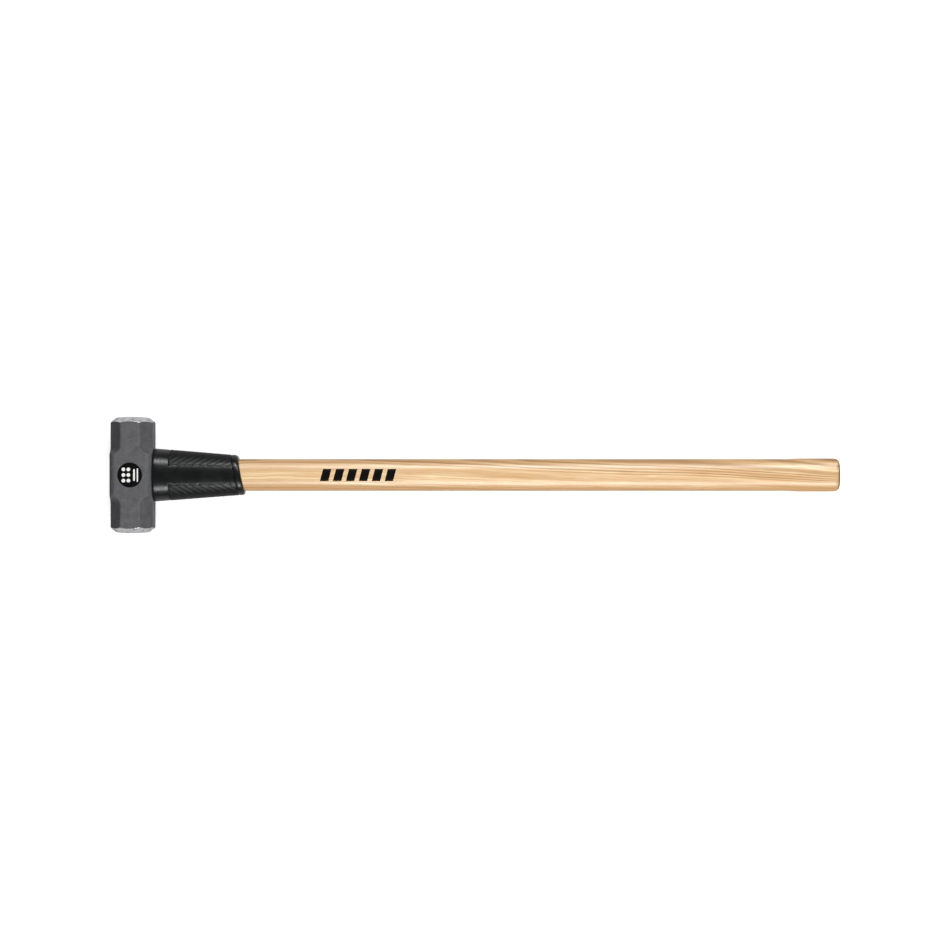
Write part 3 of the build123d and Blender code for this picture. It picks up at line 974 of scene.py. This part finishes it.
wedge_wood = speckled("end_grain_hardwood", "#8a5f38", "#b58656", (6, 0.5, 0.5), (0.55, 0.75))
wedge_steel = speckled("mill_steel", "#7d7b78", "#a9a7a3", (0.4, 5, 0.4), (0.35, 0.55), 1.0)
film_black = speckled("printed_vinyl_film", "#030303", "#060607", (2, 2, 2), (0.16, 0.24), depth=0.00001)
ink_white = speckled("white_ink", "#dcdcda", "#f0f0ee", (0.6, 0.6, 0.6), (0.5, 0.6), depth=0.00001)
ink_black = speckled("black_stamping_ink", "#020202", "#060504", (6, 0.4, 0.4), (0.18, 0.26), depth=0.00001)

finishes = {"wood_wedge": wedge_wood, "front_steel_wedge": wedge_steel, "back_steel_wedge": wedge_steel}
for node, finish in finishes.items():
    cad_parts[node].data.materials.clear()
    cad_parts[node].data.materials.append(finish)
film.data.materials.append(film_black)
label_print.data.materials.append(ink_white)
stamp.data.materials.append(ink_black)
print("small finishes:", ", ".join(sorted({m.name for m in finishes.values()})))

# %% [markdown]
# ## Which piece stands for what
# Nothing on a sledgehammer moves, so every piece rides on the one body. The skins replace the plain CAD
# shapes; the wedges keep theirs, because so little of them shows. The print and the stamp replace nothing.

# %% Riding and replacing
stands_for = [
    (head, "hammer_head", "head_steel"),
    (handle, "handle", "hickory"),
    (guard, "overstrike_guard", "guard_rubber"),
    (film, "weight_label", "label_film"),
]
for piece, node, slot in stands_for:
    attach(piece, "root")
    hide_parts(node)
for piece, slot in ((label_print, "label_film"), (stamp, "hickory")):
    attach(piece, "root")
print(len(stands_for), "CAD pieces are replaced")

# %% [markdown]
# ## Floor and light
# The floor is a white table with a glow of its own, so that it keeps only the faintest shadow. It shows to
# the eye but throws no light back at the hammer, which would wash out the dark steel and the rubber. Two
# long soft strips hang parallel to the handle, one each side and 41 degrees from upright. They draw the two
# bright lines along it. They reach further towards the grip, which leaves the far side of the head darker,
# and nothing hangs straight above, so the black pieces stay black. The world adds pale walls at both sides,
# low down, for the ground ends to mirror.

# %% Floor
table_size = 1.26
table_gap = 0.2 * MM  # below the cheek, which is uneven
bpy.ops.mesh.primitive_plane_add(size=table_size, location=(camera_over, 0, -table_gap))
floor = bpy.context.object
floor.name = "floor"
table, tree, shader = new_material("white_table")
paper = noise_over(tree, places_in_mm(tree), (40, 40, 40), 2)
stops = [(0.3, linear("#c4c4c4")), (0.7, linear("#c8c8c8"))]
white = add_node(tree, "ShaderNodeValToRGB", {"Fac": paper}, stops)
tree.links.new(white, shader.inputs["Base Color"])
shader.inputs["Roughness"].default_value = 0.9
shader.inputs["Specular IOR Level"].default_value = 0.2
shader.inputs["Emission Color"].default_value = (1, 1, 1, 1)
shader.inputs["Emission Strength"].default_value = 0.7
floor.data.materials.append(table)
floor.visible_diffuse = False
floor.visible_glossy = False
print(f"table {table_size} m square")


# %% Strips
def panel_light(name, place, target, size, power):
    """A soft rectangular light at place that faces target."""
    data = bpy.data.lights.new(name, "AREA")
    data.shape = "RECTANGLE"
    data.size, data.size_y = size
    data.energy = power
    light = bpy.data.objects.new(name, data)
    light.location = place
    aim = Vector(target) - Vector(place)
    light.rotation_euler = aim.to_track_quat("-Z", "Y").to_euler()
    bpy.context.scene.collection.objects.link(light)


strip_over = 1.0
strip_away, strip_angle = 2.6, math.radians(41)
strip_size, strip_power = (2.5, 0.5), 62
for side in (-1, 1):
    place = (strip_over, side * strip_away * math.sin(strip_angle), strip_away * math.cos(strip_angle))
    panel_light(f"strip_{side}", place, (strip_over, 0, axis_height), strip_size, strip_power)

# %% World
# Y tells how far sideways a direction points, and Z how far up.
world = bpy.data.worlds.new("studio")
world.use_nodes = True
tree = world.node_tree
direction = add_node(tree, "ShaderNodeTexCoord").node.outputs["Generated"]
split = add_node(tree, "ShaderNodeSeparateXYZ", {0: direction}).node
sidelong, upward = (split.outputs[axis] for axis in "YZ")
sidelong = add_node(tree, "ShaderNodeMath", {0: sidelong}, operation="ABSOLUTE")
walls = add_node(tree, "ShaderNodeMapRange", {"Value": sidelong, "From Min": 0.35, "From Max": 0.6})
low = add_node(tree, "ShaderNodeMapRange", {"Value": upward, "From Min": 0.15, "From Max": -0.05})
walls = add_node(tree, "ShaderNodeMath", {0: walls, 1: low}, operation="MULTIPLY")
wall_glow = 0.64
walls = add_node(tree, "ShaderNodeMath", {0: walls, 1: wall_glow}, operation="MULTIPLY")
below = add_node(tree, "ShaderNodeMapRange", {"Value": upward, "From Min": -0.85, "From Max": -0.96})
glow = add_node(tree, "ShaderNodeMath", {0: walls, 1: below}, operation="MAXIMUM")
glow = add_node(tree, "ShaderNodeMapRange", {"Value": glow, "To Min": 0.1, "To Max": 1.0})
tree.links.new(glow, tree.nodes["Background"].inputs["Color"])
bpy.context.scene.world = world
print("the world has", len(tree.nodes), "nodes")
